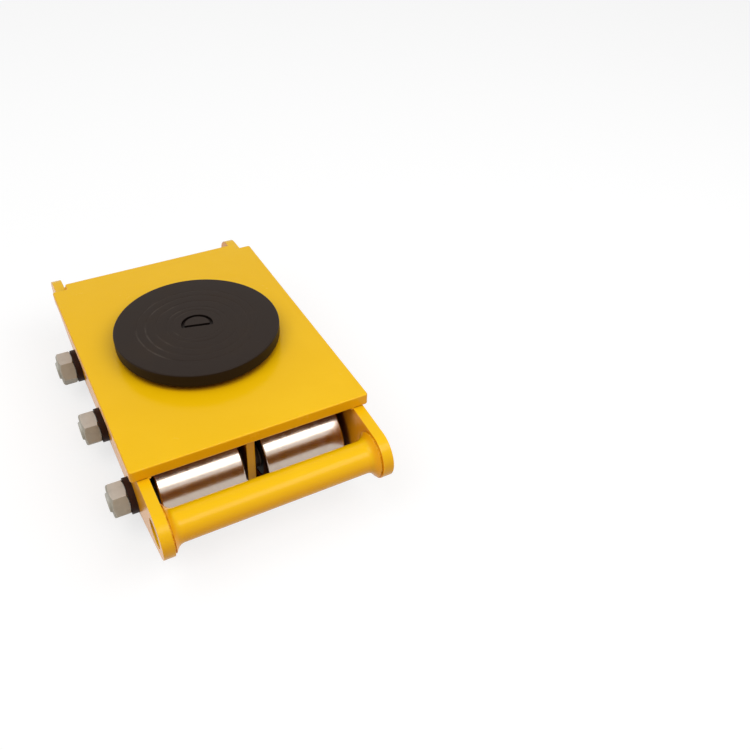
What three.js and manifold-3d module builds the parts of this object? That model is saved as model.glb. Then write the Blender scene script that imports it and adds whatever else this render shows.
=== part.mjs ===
// Machine skate: a low steel trolley with six free rollers, a tow tube and a swivel pad on top.
// Millimetres, +X to the right, +Y to the back, +Z up. The tow tube is at the front.
import * as THREE from 'three';
import { mergeVertices } from 'three/addons/utils/BufferGeometryUtils.js';
import Module from 'manifold-3d';

// Rollers and their layout
const rollerRadius = 40;
const rollerEndGap = 6.5;
const rollerEdgeBevel = 1.6;
const rollerBoreRadius = 19;
const rollerCrossPlateGap = 2;
const rollerTopGap = 16;
const rollerDividerGap = 7.5;
const rowCount = 3;

// Top plate
const plateWidth = 218;
const plateThickness = 12;
const plateCornerRadius = 2.5;
const plateEdgeRound = 1.2;

// Side plates, with a towing nose at the front and an ear at the back
const sideThickness = 10;
const sideInset = 5;
const sideBelowAxle = 15.5;
const sideTaperInset = 36;
const sideEdgeRound = 0.8;
const noseRadius = 23;
const noseReach = 36.5;
const noseDrop = 2;
const towHoleRadius = 13;
const earHoleRadius = 11;

// Plates that divide the frame into six cells
const centreThickness = 8;
const centreTopReach = 26;
const centreFootReach = 21;
const crossPlateThickness = 10;
const crossPlateLift = 10;
const dividerThickness = 7;
const innerPlateLift = 1.5;
const innerEdgeRound = 1;

// Tow tube between the noses, flaring into a weld at each end
const tubeRadius = 15;
const tubeWall = 4;
const weldHeight = 4.5;
const weldLength = 11;

// Axles, nuts and washers
const axleRadius = 10;
const axleEndBevel = 1.5;
const axleOverhang = 2;
const nutFlats = 30;
const nutThickness = 15;
const nutTurns = { left: [19, 15, 23], right: [41, 8, 33] };
const nutChamferShare = 0.95;
const nutChamferSlope = 0.55;
const washerRadius = 17;
const washerThickness = 6;
const washerSlit = 2.4;
const washerEdgeBevel = 0.8;

// Bearings and spacer rings inside the cells
const bearingRadius = 26;
const bearingWidth = 15;
const bearingInset = 1;
const bearingRaceWall = 4;
const bearingInnerWall = 3;
const sealDepth = 0.8;
const spacerWall = 3.5;

// Swivel pad on its pivot
const padRadius = 78;
const padThickness = 13;
const padEdgeRound = 1.5;
const padSkirtWall = 4;
const padCoverThickness = 8;
const padGap = 6;
const ringGrooveShares = [0.5, 0.62, 0.73];
const ringGrooveWidth = 1.2;
const ringGrooveDepth = 0.5;
const markRadius = 15;
const markFlatDrop = 4;
const markLineWidth = 2.4;
const markDepth = 1.4;
const markTurn = THREE.MathUtils.degToRad(-13);
const pivotRadius = 12;
const pivotHeadRoom = 0.4;
const clipWall = 3;
const clipThickness = 1.2;
const clipGrooveDepth = 1;
const clipOpening = 6;

// Ball ring that carries the pad
const ballRingRadius = 50;
const ballCount = 12;
const ballClearance = 0.25;
const cageWidth = 8;
const cageThickness = 1.4;

// Clearances and overruns
const runningGap = 0.3;
const cutOverrun = 1;
const weldTolerance = 0.001;

// Steps round each kind of circle
const rollerSteps = 36;
const smallSteps = 16;
const holeSteps = 24;
const nutSteps = 18;
const tubeSteps = 32;
const noseSteps = 14;
const cornerSteps = 3;
const padSteps = 48;
const markSteps = 12;
const ballSteps = 8;

// Places worked out from the sizes above
const axleHeight = rollerRadius;
const plateUnderside = rollerRadius + rollerRadius + rollerTopGap;
const plateTop = plateUnderside + plateThickness;
const rowPitch = dividerThickness + (rollerRadius + rollerDividerGap) * 2;
const plateLength = rowPitch * (rowCount - 1) + (rollerRadius + rollerCrossPlateGap) * 2;
const sideOuter = plateWidth / 2 - sideInset;
const sideInner = sideOuter - sideThickness;
const cellInner = centreThickness / 2;
const cellWidth = sideInner - cellInner;
const cellMiddle = (sideInner + cellInner) / 2;
const rollerLength = cellWidth - rollerEndGap - rollerEndGap;
const noseY = plateLength / 2 + noseReach;
const noseHeight = plateUnderside - noseRadius - noseDrop;
const sideBottom = axleHeight - sideBelowAxle;
const innerBottom = sideBottom + innerPlateLift;
const nutInner = sideOuter + washerThickness;
const axleHalfLength = nutInner + nutThickness + axleOverhang;
const padBottom = plateTop + padGap;
const padTop = padBottom + padThickness;
const padCoverBottom = padTop - padCoverThickness;
const clipSeat = padCoverBottom - pivotHeadRoom - clipThickness - clipThickness;

// Paints and metals seen in the photograph
const paint = { color: 0xf0b81e, roughness: 0.35, metalness: 0 };
const ground = { color: 0xc9c4bb, roughness: 0.22, metalness: 1 };
const zinc = { color: 0xb5ada0, roughness: 0.38, metalness: 1 };
const blackSteel = { color: 0x1c1a18, roughness: 0.5, metalness: 0.6 };
const darkSteel = { color: 0x6b6a68, roughness: 0.45, metalness: 1 };
const rubber = { color: 0x2c2825, roughness: 0.7, metalness: 0 };

const wasm = await Module();
wasm.setup();

const skate = new THREE.Group();
skate.name = 'machine_skate';

function addPart(name, geometry, finish, position = [0, 0, 0]) {
  const mesh = new THREE.Mesh(geometry, new THREE.MeshStandardMaterial(finish));
  mesh.name = name;
  mesh.position.set(...position);
  skate.add(mesh);
  return mesh;
}

// Turns a closed three.js geometry into a solid for cutting and joining
function toSolid(geometry) {
  const bare = new THREE.BufferGeometry();
  bare.setAttribute('position', geometry.attributes.position);
  if (geometry.index) bare.setIndex(geometry.index);
  const merged = mergeVertices(bare, weldTolerance);
  return new wasm.Manifold(new wasm.Mesh({
    numProp: 3,
    vertProperties: new Float32Array(merged.attributes.position.array),
    triVerts: new Uint32Array(merged.index.array),
  }));
}

function toGeometry(solid) {
  const mesh = solid.getMesh();
  const geometry = new THREE.BufferGeometry();
  geometry.setAttribute('position', new THREE.BufferAttribute(mesh.vertProperties, mesh.numProp));
  geometry.setIndex(new THREE.BufferAttribute(mesh.triVerts, 1));
  return geometry;
}

// Revolves a ring's outline, listed as [radius, height] with the outer wall going up
function turnedRing(outline, steps) {
  const points = outline.map(([radius, height]) => new THREE.Vector2(radius, height));
  points.push(points[0].clone());
  return new THREE.LatheGeometry(points, steps);
}

// Revolves an outline that starts and ends on the axis
function turnedSolid(outline, steps) {
  const points = outline.map(([radius, height]) => new THREE.Vector2(radius, height));
  return new THREE.LatheGeometry(points, steps);
}

// Lays a piece turned about Y along the X axis, or stands it on the Z axis
function alongX(geometry) {
  return geometry.rotateZ(-Math.PI / 2);
}

function alongZ(geometry) {
  return geometry.rotateX(Math.PI / 2);
}

// Extrudes a flat shape with rounded edges that stay inside its outline
function roundedExtrusion(shape, depth, edgeRound, roundSteps = 1) {
  return new THREE.ExtrudeGeometry(shape, {
    depth: depth - edgeRound - edgeRound,
    bevelEnabled: true,
    bevelThickness: edgeRound,
    bevelSize: edgeRound,
    bevelOffset: -edgeRound,
    bevelSegments: roundSteps,
    curveSegments: cornerSteps,
  }).translate(0, 0, edgeRound);
}

// Stands a shape drawn in Y and Z on its own plane, so that its depth runs along +X
function standAcrossX(geometry) {
  const alongY = new THREE.Vector3(0, 1, 0);
  const upZ = new THREE.Vector3(0, 0, 1);
  const acrossX = new THREE.Vector3(1, 0, 0);
  return geometry.applyMatrix4(new THREE.Matrix4().makeBasis(alongY, upZ, acrossX));
}

function circlePoints(x, y, radius, steps) {
  const points = [];
  for (let step = 0; step < steps; step += 1) {
    const angle = (-Math.PI * 2 * step) / steps;
    points.push(new THREE.Vector2(x + radius * Math.cos(angle), y + radius * Math.sin(angle)));
  }
  return points;
}

function topPlate() {
  const halfWidth = plateWidth / 2 - plateCornerRadius;
  const halfLength = plateLength / 2 - plateCornerRadius;
  const shape = new THREE.Shape();
  shape.absarc(halfWidth, -halfLength, plateCornerRadius, -Math.PI / 2, 0, false);
  shape.absarc(halfWidth, halfLength, plateCornerRadius, 0, Math.PI / 2, false);
  shape.absarc(-halfWidth, halfLength, plateCornerRadius, Math.PI / 2, Math.PI, false);
  shape.absarc(-halfWidth, -halfLength, plateCornerRadius, Math.PI, Math.PI * 1.5, false);
  const pivotHole = new THREE.Path(circlePoints(0, 0, pivotRadius + runningGap, holeSteps));
  shape.holes.push(pivotHole);
  return roundedExtrusion(shape, plateThickness, plateEdgeRound, 2).translate(0, 0, plateUnderside);
}

// Side of a tangent from a point to a circle: the angle at the centre where it touches
function tangentAngle(fromY, fromZ, centreY, centreZ, radius, side) {
  const reach = Math.hypot(fromY - centreY, fromZ - centreZ);
  const towards = Math.atan2(fromZ - centreZ, fromY - centreY);
  return towards + side * Math.acos(radius / reach);
}

function sidePlateShape() {
  const taperY = plateLength / 2 - sideTaperInset;
  const topY = plateLength / 2;
  const lower = tangentAngle(taperY, sideBottom, noseY, noseHeight, noseRadius, 1);
  const upper = tangentAngle(topY, plateUnderside, noseY, noseHeight, noseRadius, -1);
  const points = [];
  for (let step = 0; step <= noseSteps; step += 1) {
    const angle = lower + ((upper + (upper < lower ? Math.PI * 2 : 0) - lower) * step) / noseSteps;
    points.push([noseY + noseRadius * Math.cos(angle), noseHeight + noseRadius * Math.sin(angle)]);
  }
  const rear = [[taperY, sideBottom], ...points, [topY, plateUnderside]];
  const front = rear.map(([y, z]) => [-y, z]).reverse();
  return new THREE.Shape([...rear, ...front].map(([y, z]) => new THREE.Vector2(y, z)));
}

function sidePlate() {
  const shape = sidePlateShape();
  shape.holes.push(new THREE.Path(circlePoints(-noseY, noseHeight, towHoleRadius, holeSteps)));
  shape.holes.push(new THREE.Path(circlePoints(noseY, noseHeight, earHoleRadius, holeSteps)));
  shape.holes.push(...axleHoles());
  return standAcrossX(roundedExtrusion(shape, sideThickness, sideEdgeRound));
}

function axleRows() {
  const rows = [];
  for (let row = 0; row < rowCount; row += 1) rows.push((row - (rowCount - 1) / 2) * rowPitch);
  return rows;
}

function axleHoles() {
  const radius = axleRadius + runningGap;
  return axleRows().map((y) => new THREE.Path(circlePoints(y, axleHeight, radius, smallSteps)));
}

function centrePlate() {
  const frontAxle = axleRows()[0];
  const shape = new THREE.Shape([
    new THREE.Vector2(frontAxle - centreFootReach, innerBottom),
    new THREE.Vector2(plateLength / 2, innerBottom),
    new THREE.Vector2(plateLength / 2, plateUnderside),
    new THREE.Vector2(frontAxle - centreTopReach, plateUnderside),
  ]);
  shape.holes.push(...axleHoles());
  return standAcrossX(roundedExtrusion(shape, centreThickness, innerEdgeRound))
    .translate(-centreThickness / 2, 0, 0);
}

// A flat bar with rounded edges, given by its low and high corners
function roundedBar(low, high, edgeRound) {
  const [width, length, height] = high.map((value, axis) => value - low[axis]);
  const shape = new THREE.Shape([
    new THREE.Vector2(0, 0),
    new THREE.Vector2(length, 0),
    new THREE.Vector2(length, height),
    new THREE.Vector2(0, height),
  ]);
  return standAcrossX(roundedExtrusion(shape, width, edgeRound)).translate(...low);
}

function crossPlate() {
  const low = [-sideInner, plateLength / 2, sideBottom + crossPlateLift];
  const high = [sideInner, plateLength / 2 + crossPlateThickness, plateTop];
  return roundedBar(low, high, innerEdgeRound);
}

function divider(sideSign, y) {
  const nearX = sideSign > 0 ? cellInner : -sideInner;
  const low = [nearX, y - dividerThickness / 2, innerBottom];
  const high = [nearX + cellWidth, y + dividerThickness / 2, plateUnderside];
  return roundedBar(low, high, innerEdgeRound);
}

function towTube() {
  const half = sideInner;
  const beadTop = tubeRadius + weldHeight;
  const bore = tubeRadius - tubeWall;
  const outline = [
    [bore, -half],
    [beadTop, -half],
    [beadTop - weldHeight / 3, -half + weldLength / 2],
    [tubeRadius, -half + weldLength],
    [tubeRadius, half - weldLength],
    [beadTop - weldHeight / 3, half - weldLength / 2],
    [beadTop, half],
    [bore, half],
  ];
  return alongX(turnedRing(outline, tubeSteps));
}

function axle() {
  const tip = axleRadius - axleEndBevel;
  return alongX(turnedSolid([
    [0, -axleHalfLength],
    [tip, -axleHalfLength],
    [axleRadius, -axleHalfLength + axleEndBevel],
    [axleRadius, axleHalfLength - axleEndBevel],
    [tip, axleHalfLength],
    [0, axleHalfLength],
  ], smallSteps));
}

function nut() {
  const corner = nutFlats / Math.sqrt(3);
  const faceRadius = (nutFlats / 2) * nutChamferShare;
  const chamfer = (corner + cutOverrun - faceRadius) * nutChamferSlope;
  const hexagon = toSolid(new THREE.CylinderGeometry(corner, corner, nutThickness, 6));
  const half = nutThickness / 2;
  const bore = axleRadius + runningGap;
  const turned = toSolid(turnedRing([
    [bore, -half],
    [faceRadius, -half],
    [corner + cutOverrun, -half + chamfer],
    [corner + cutOverrun, half - chamfer],
    [faceRadius, half],
    [bore, half],
  ], nutSteps));
  return alongX(toGeometry(hexagon.intersect(turned)));
}

function lockWasher() {
  const half = washerThickness / 2;
  const bore = axleRadius + runningGap;
  const ring = toSolid(turnedRing([
    [bore, -half],
    [washerRadius, -half],
    [washerRadius, half - washerEdgeBevel],
    [washerRadius - washerEdgeBevel, half],
    [bore, half],
  ], holeSteps));
  const cutLength = washerRadius + cutOverrun;
  const slit = toSolid(new THREE.BoxGeometry(cutLength, washerThickness + cutOverrun, washerSlit)
    .translate(-cutLength / 2, 0, 0));
  return alongX(toGeometry(ring.subtract(slit)));
}

function roller() {
  const half = rollerLength / 2;
  const rim = rollerRadius - rollerEdgeBevel;
  const pocket = bearingRadius + runningGap;
  const pocketDepth = bearingInset + bearingWidth + runningGap;
  return alongX(turnedRing([
    [pocket, -half],
    [rim, -half],
    [rollerRadius, -half + rollerEdgeBevel],
    [rollerRadius, half - rollerEdgeBevel],
    [rim, half],
    [pocket, half],
    [pocket, half - pocketDepth],
    [rollerBoreRadius, half - pocketDepth],
    [rollerBoreRadius, -half + pocketDepth],
    [pocket, -half + pocketDepth],
  ], rollerSteps));
}

// Shielded bearing: the seal is sunk into the face that looks along +X
function bearing() {
  const half = bearingWidth / 2;
  const bore = axleRadius + runningGap;
  const innerRace = bore + bearingInnerWall;
  const outerRace = bearingRadius - bearingRaceWall;
  return alongX(turnedRing([
    [bore, -half],
    [bearingRadius, -half],
    [bearingRadius, half],
    [outerRace, half],
    [outerRace, half - sealDepth],
    [innerRace, half - sealDepth],
    [innerRace, half],
    [bore, half],
  ], smallSteps));
}

function spacer() {
  const half = (rollerEndGap + bearingInset - runningGap) / 2;
  const bore = axleRadius + runningGap;
  return alongX(turnedRing([
    [bore, -half],
    [bore + spacerWall, -half],
    [bore + spacerWall, half],
    [bore, half],
  ], smallSteps));
}

// Pad outline from the underside outwards, then in across the top with its ring grooves
function padOutline() {
  const grooves = [];
  for (const share of [...ringGrooveShares].reverse()) {
    const radius = padRadius * share;
    grooves.push([radius + ringGrooveWidth / 2, padTop]);
    grooves.push([radius, padTop - ringGrooveDepth]);
    grooves.push([radius - ringGrooveWidth / 2, padTop]);
  }
  return [
    [0, padCoverBottom],
    [padRadius - padSkirtWall, padCoverBottom],
    [padRadius - padSkirtWall, padBottom],
    [padRadius, padBottom],
    [padRadius, padTop - padEdgeRound],
    [padRadius - padEdgeRound / 3, padTop - padEdgeRound / 3],
    [padRadius - padEdgeRound, padTop],
    ...grooves,
    [0, padTop],
  ];
}

// Half-moon outline: the flat side lies in front of the middle by a drop, and the arc behind it
function halfMoon(radius, flatDrop) {
  const start = -Math.asin(flatDrop / radius);
  const shape = new THREE.Shape();
  shape.absarc(0, 0, radius, start, Math.PI - start, false);
  shape.closePath();
  return shape;
}

function rubberPad() {
  const pad = toSolid(alongZ(turnedSolid(padOutline(), padSteps)));
  const outer = halfMoon(markRadius, markFlatDrop);
  const inner = halfMoon(markRadius - markLineWidth, markFlatDrop - markLineWidth);
  const groove = new THREE.ExtrudeGeometry(outer, {
    depth: markDepth + cutOverrun, bevelEnabled: false, curveSegments: markSteps,
  });
  const island = new THREE.ExtrudeGeometry(inner, {
    depth: markDepth + cutOverrun + cutOverrun, bevelEnabled: false, curveSegments: markSteps,
  }).translate(0, 0, -cutOverrun / 2);
  const mark = toSolid(groove).subtract(toSolid(island));
  const placed = toSolid(toGeometry(mark).rotateZ(markTurn).translate(0, 0, padTop - markDepth));
  return toGeometry(pad.subtract(placed));
}

function turntable() {
  const outer = padRadius - padSkirtWall - runningGap;
  const pinHole = pivotRadius + runningGap;
  const clipRoom = pivotRadius - clipGrooveDepth + clipWall + runningGap + runningGap;
  const clipFloor = clipSeat - runningGap;
  return alongZ(turnedRing([
    [pinHole, padBottom],
    [outer, padBottom],
    [outer, padCoverBottom],
    [clipRoom, padCoverBottom],
    [clipRoom, clipFloor],
    [pinHole, clipFloor],
  ], padSteps));
}

function pivotPin() {
  const groove = pivotRadius - clipGrooveDepth;
  return alongZ(turnedSolid([
    [0, plateUnderside],
    [pivotRadius, plateUnderside],
    [pivotRadius, clipSeat],
    [groove, clipSeat],
    [groove, clipSeat + clipThickness],
    [pivotRadius, clipSeat + clipThickness],
    [pivotRadius, padCoverBottom - pivotHeadRoom],
    [0, padCoverBottom - pivotHeadRoom],
  ], holeSteps));
}

function retainingClip() {
  const low = clipSeat + runningGap / 3;
  const high = clipSeat + clipThickness - runningGap / 3;
  const bore = pivotRadius - clipGrooveDepth + runningGap / 3;
  const ring = toSolid(alongZ(turnedRing([
    [bore, low],
    [bore + clipWall, low],
    [bore + clipWall, high],
    [bore, high],
  ], holeSteps)));
  const cutLength = bore + clipWall + cutOverrun;
  const opening = toSolid(new THREE.BoxGeometry(clipOpening, cutLength, clipThickness + cutOverrun)
    .translate(0, cutLength / 2, clipSeat + clipThickness / 2));
  return toGeometry(ring.subtract(opening));
}

function ballRing() {
  const middle = plateTop + padGap / 2;
  const ballRadius = padGap / 2 - ballClearance;
  const inner = ballRingRadius - cageWidth / 2;
  const outer = ballRingRadius + cageWidth / 2;
  let ring = toSolid(alongZ(turnedRing([
    [inner, middle - cageThickness / 2],
    [outer, middle - cageThickness / 2],
    [outer, middle + cageThickness / 2],
    [inner, middle + cageThickness / 2],
  ], padSteps)));
  for (let ball = 0; ball < ballCount; ball += 1) {
    const angle = (Math.PI * 2 * ball) / ballCount;
    const sphere = new THREE.SphereGeometry(ballRadius, ballSteps, ballSteps - 2).rotateX(Math.PI / 2)
      .translate(ballRingRadius * Math.cos(angle), ballRingRadius * Math.sin(angle), middle);
    ring = ring.add(toSolid(sphere));
  }
  return toGeometry(ring);
}

function addFrame() {
  addPart('top_plate', topPlate(), paint);
  addPart('side_plate_left', sidePlate(), paint, [-sideOuter, 0, 0]);
  addPart('side_plate_right', sidePlate(), paint, [sideInner, 0, 0]);
  addPart('centre_plate', centrePlate(), paint);
  addPart('rear_cross_plate', crossPlate(), paint);
  addPart('tow_tube', towTube(), paint, [0, -noseY, noseHeight]);
  for (const [sideName, sideSign] of [['left', -1], ['right', 1]]) {
    addPart(`divider_front_${sideName}`, divider(sideSign, -rowPitch / 2), paint);
    addPart(`divider_rear_${sideName}`, divider(sideSign, rowPitch / 2), paint);
  }
}

function addRollerRow(rowName, y, row) {
  addPart(`axle_${rowName}`, axle(), zinc, [0, y, axleHeight]);
  for (const [sideName, sideSign] of [['left', -1], ['right', 1]]) {
    const place = (x) => [sideSign * x, y, axleHeight];
    const name = `${rowName}_${sideName}`;
    const outwards = sideSign > 0 ? 0 : Math.PI;
    const inwards = Math.PI - outwards;
    const bearingX = rollerLength / 2 - bearingInset - bearingWidth / 2;
    const spacerX = (cellWidth - (rollerEndGap + bearingInset - runningGap)) / 2;
    addPart(`roller_${name}`, roller(), ground, place(cellMiddle));
    addPart(`bearing_${name}_outer`, bearing().rotateZ(outwards), darkSteel, place(cellMiddle + bearingX));
    addPart(`bearing_${name}_inner`, bearing().rotateZ(inwards), darkSteel, place(cellMiddle - bearingX));
    addPart(`spacer_${name}_outer`, spacer(), darkSteel, place(cellMiddle + spacerX));
    addPart(`spacer_${name}_inner`, spacer(), darkSteel, place(cellMiddle - spacerX));
    const washerX = sideOuter + washerThickness / 2;
    addPart(`lock_washer_${name}`, lockWasher().rotateZ(outwards), blackSteel, place(washerX));
    const turn = -THREE.MathUtils.degToRad(nutTurns[sideName][row]);
    addPart(`axle_nut_${name}`, nut().rotateX(turn), zinc, place(nutInner + nutThickness / 2));
  }
}

function addSwivel() {
  addPart('pivot_pin', pivotPin(), darkSteel);
  addPart('retaining_clip', retainingClip(), blackSteel);
  addPart('ball_ring', ballRing(), darkSteel);
  addPart('turntable', turntable(), darkSteel);
  addPart('rubber_pad', rubberPad(), rubber);
}

addFrame();
axleRows().forEach((y, row) => addRollerRow(['front', 'middle', 'rear'][row], y, row));
addSwivel();

export default skate;
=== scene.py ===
# %% [markdown]
# A machine skate in Blender.
#
# A machine skate is a low steel trolley. A heavy machine is lowered onto its round rubber pad, and six
# steel rollers carry it over the floor. The frame is welded from flat plate and painted yellow.
#
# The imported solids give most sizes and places, and the few that a box can't give, such as a hole or a
# wall, are named here. This lesson loads the solids, keeps the hidden ones, and models a finer piece for
# each one that shows. Everything is in metres, with the tow tube at the front, on -Y.

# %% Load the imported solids
import math
import bpy
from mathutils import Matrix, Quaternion, Vector


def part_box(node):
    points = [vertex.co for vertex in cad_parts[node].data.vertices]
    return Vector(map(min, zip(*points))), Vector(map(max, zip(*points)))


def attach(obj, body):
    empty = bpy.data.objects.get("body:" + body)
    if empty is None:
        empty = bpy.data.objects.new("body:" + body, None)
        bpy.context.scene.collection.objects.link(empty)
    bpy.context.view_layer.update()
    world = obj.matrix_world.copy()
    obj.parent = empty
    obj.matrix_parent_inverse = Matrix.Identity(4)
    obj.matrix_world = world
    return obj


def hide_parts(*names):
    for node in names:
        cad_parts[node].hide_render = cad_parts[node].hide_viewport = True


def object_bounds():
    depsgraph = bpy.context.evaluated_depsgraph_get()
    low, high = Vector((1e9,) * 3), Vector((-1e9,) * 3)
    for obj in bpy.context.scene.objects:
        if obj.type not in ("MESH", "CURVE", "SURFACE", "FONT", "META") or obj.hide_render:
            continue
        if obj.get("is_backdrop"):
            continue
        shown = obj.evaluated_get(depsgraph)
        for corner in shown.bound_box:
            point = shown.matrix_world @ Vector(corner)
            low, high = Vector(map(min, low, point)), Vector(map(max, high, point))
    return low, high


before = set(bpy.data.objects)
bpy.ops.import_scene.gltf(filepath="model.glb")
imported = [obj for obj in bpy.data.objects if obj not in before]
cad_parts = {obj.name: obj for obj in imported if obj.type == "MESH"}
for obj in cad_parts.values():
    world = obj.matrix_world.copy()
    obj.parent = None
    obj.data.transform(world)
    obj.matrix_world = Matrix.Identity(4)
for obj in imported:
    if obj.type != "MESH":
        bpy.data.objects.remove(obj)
cad_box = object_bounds()
mm = 0.001
print("solids:", len(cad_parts), "size in mm:", [round(v / mm) for v in cad_box[1] - cad_box[0]])

# %% [markdown]
# The camera.
#
# The photograph looks down on the skate from the front, a little from its left. Its camera was worked
# out from the corners of the deck and the ends of the axles. A direction and a small roll place it
# exactly, where aiming at a target object would leave the roll out.

# %% Camera
camera_place = (-0.1607, -0.6253, 0.5899)
camera_azimuth = math.radians(29.83)
camera_fall = math.radians(39.8)
camera_roll = math.radians(2.09)
photo_width = 750
focal_pixels = 810.8
sensor_width = 36

looks_along = Vector((math.sin(camera_azimuth) * math.cos(camera_fall),
                      math.cos(camera_azimuth) * math.cos(camera_fall),
                      -math.sin(camera_fall)))
bpy.ops.object.select_all(action="DESELECT")
bpy.ops.object.camera_add(location=camera_place)
camera = bpy.context.object
camera.name = "photo_camera"
camera.rotation_mode = "QUATERNION"
camera.rotation_quaternion = looks_along.to_track_quat("-Z", "Y") @ Quaternion((0, 0, 1), camera_roll)
camera.data.sensor_width = sensor_width
camera.data.lens = focal_pixels * sensor_width / photo_width
camera.data.clip_start = 0.01
camera.data.clip_end = 50
bpy.context.scene.camera = camera
print("lens in mm:", round(camera.data.lens, 2))

# %% [markdown]
# Building with nodes.
#
# A material is a net of nodes, and on the screen each link is drawn by hand. Three small helpers do the
# same here: one gives a socket its value or its link, one adds a node, and one fills its named sockets.

# %% Node helpers
def feed(socket, value):
    """Gives a socket a plain value, or links another node's output to it."""
    if isinstance(value, bpy.types.NodeSocket):
        socket.id_data.links.new(value, socket)
    else:
        socket.default_value = value


def add_node(tree, kind, *values, **settings):
    """Adds a node, changes its settings, and feeds its sockets in their order."""
    node = tree.nodes.new(kind)
    for name, setting in settings.items():
        setattr(node, name, setting)
    for socket, value in zip(node.inputs, values):
        feed(socket, value)
    return node


def set_inputs(node, **values):
    """Feeds sockets by name."""
    for name, value in values.items():
        feed(node.inputs[name.replace("_", " ")], value)
    return node


# %% Sums, ramps and noise
def calculate(tree, operation, *values):
    return add_node(tree, "ShaderNodeMath", *values, operation=operation).outputs[0]


def ramp_value(tree, source, low, high, from_low=0.0, from_high=1.0, **settings):
    """Carries a value from one range over to another, and holds it at both ends."""
    ramp = add_node(tree, "ShaderNodeMapRange", source, from_low, from_high, low, high, **settings)
    return ramp.outputs["Result"]


def add_noise(tree, place, **values):
    return set_inputs(add_node(tree, "ShaderNodeTexNoise"), Vector=place, **values).outputs["Fac"]


# %% [markdown]
# The floor and the light.
#
# The photograph was taken on white paper under soft light, and hardly any shadow is left. One large
# plane is the paper. It lights the skate as plain paper does. What the camera and the shiny metal see is
# part glow and part lit paper, so that it is white where it is open and keeps a pale shadow. The sky is
# split the same way: white to look at, and less than half as strong as a light. Two soft boxes, one high
# on the left and one in front, give the deck its sheen and the tow tube its line of light.

# %% White paper floor
def ray_that_sees(tree):
    """One for rays from the camera, a mirror or glass, and zero for rays that only carry light."""
    rays = add_node(tree, "ShaderNodeLightPath").outputs
    seen = calculate(tree, "MAXIMUM", rays["Is Camera Ray"], rays["Is Glossy Ray"])
    return calculate(tree, "MAXIMUM", seen, rays["Is Transmission Ray"])


def matt_paper(tree, grey, fibres):
    matt = add_node(tree, "ShaderNodeBsdfDiffuse")
    return set_inputs(matt, Color=(grey, grey, grey, 1), Roughness=1.0, Normal=fibres).outputs[0]


lighting_grey = 0.7
seen_grey = 0.36
seen_glow = 0.7


def make_paper():
    paper = bpy.data.materials.new("white_paper")
    paper.use_nodes = True
    tree = paper.node_tree
    tree.nodes.clear()
    place = add_node(tree, "ShaderNodeTexCoord").outputs["Object"]
    height = add_noise(tree, place, Scale=900.0, Detail=4.0)
    bump = set_inputs(add_node(tree, "ShaderNodeBump"), Height=height, Strength=0.08, Distance=0.0003)
    fibres = bump.outputs["Normal"]
    lights = matt_paper(tree, lighting_grey, fibres)
    glow = add_node(tree, "ShaderNodeEmission", (1, 1, 1, 1), seen_glow).outputs[0]
    shows = add_node(tree, "ShaderNodeAddShader", matt_paper(tree, seen_grey, fibres), glow).outputs[0]
    choice = add_node(tree, "ShaderNodeMixShader", ray_that_sees(tree), lights, shows)
    set_inputs(add_node(tree, "ShaderNodeOutputMaterial"), Surface=choice.outputs[0])
    return paper


floor_width = 16
bpy.ops.mesh.primitive_plane_add(size=floor_width, location=(0, 0, 0))
floor = bpy.context.object
floor.name = "paper_floor"
floor.data.materials.append(make_paper())
floor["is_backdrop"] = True
print("floor:", floor.name, floor_width, "m wide")

# %% Sky
sky_light = 0.45
sky_seen = 1.0
world = bpy.data.worlds.new("soft_room")
bpy.context.scene.world = world
world.use_nodes = True
tree = world.node_tree
tree.nodes.clear()
strength = ramp_value(tree, ray_that_sees(tree), sky_light, sky_seen)
sky = add_node(tree, "ShaderNodeBackground", (1, 1, 1, 1), strength)
set_inputs(add_node(tree, "ShaderNodeOutputWorld"), Surface=sky.outputs[0])
print("sky:", world.name)

# %% Soft boxes
skate_middle = Vector((0, 0, 0.1))


def soft_box(name, place, width, height, power):
    """An oval lamp that is turned towards the middle of the skate."""
    bpy.ops.object.light_add(type="AREA", location=place)
    box = bpy.context.object
    box.name = name
    box.data.shape = "ELLIPSE"
    box.data.size = width
    box.data.size_y = height
    box.data.energy = power
    box.rotation_mode = "QUATERNION"
    box.rotation_quaternion = (skate_middle - Vector(place)).to_track_quat("-Z", "Y")
    print(name, "power:", power)


soft_box("key_above_left", place=(-0.9, -0.45, 1.8), width=1.6, height=1.6, power=12.5)
soft_box("soft_box_in_front", place=(0.36, -0.86, 1.10), width=1.2, height=0.66, power=7.6)

# %% [markdown]
# Effects that several finishes share.
#
# Each one is a node group with named inputs, built once. A group gives only a mask or a height, and
# each material keeps its own shader and decides what the mask does. That keeps one finish free to
# change without touching another. Patches, waves, dimples, breaks and rings are counted in a metre.

# %% Group helpers
def new_group(name, outputs, **inputs):
    """An empty group. An input that starts as None is a place, and every other one is a number."""
    group = bpy.data.node_groups.new(name, "ShaderNodeTree")
    for label, value in inputs.items():
        kind = "NodeSocketVector" if value is None else "NodeSocketFloat"
        socket = group.interface.new_socket(label.replace("_", " "), in_out="INPUT", socket_type=kind)
        if value is not None:
            socket.default_value = value
    for label in outputs:
        group.interface.new_socket(label, in_out="OUTPUT", socket_type="NodeSocketFloat")
    print("shared effect:", name)
    return group, group.nodes.new("NodeGroupInput").outputs, group.nodes.new("NodeGroupOutput")


def use_group(tree, group, **values):
    return set_inputs(add_node(tree, "ShaderNodeGroup", node_tree=group), **values).outputs


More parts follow.
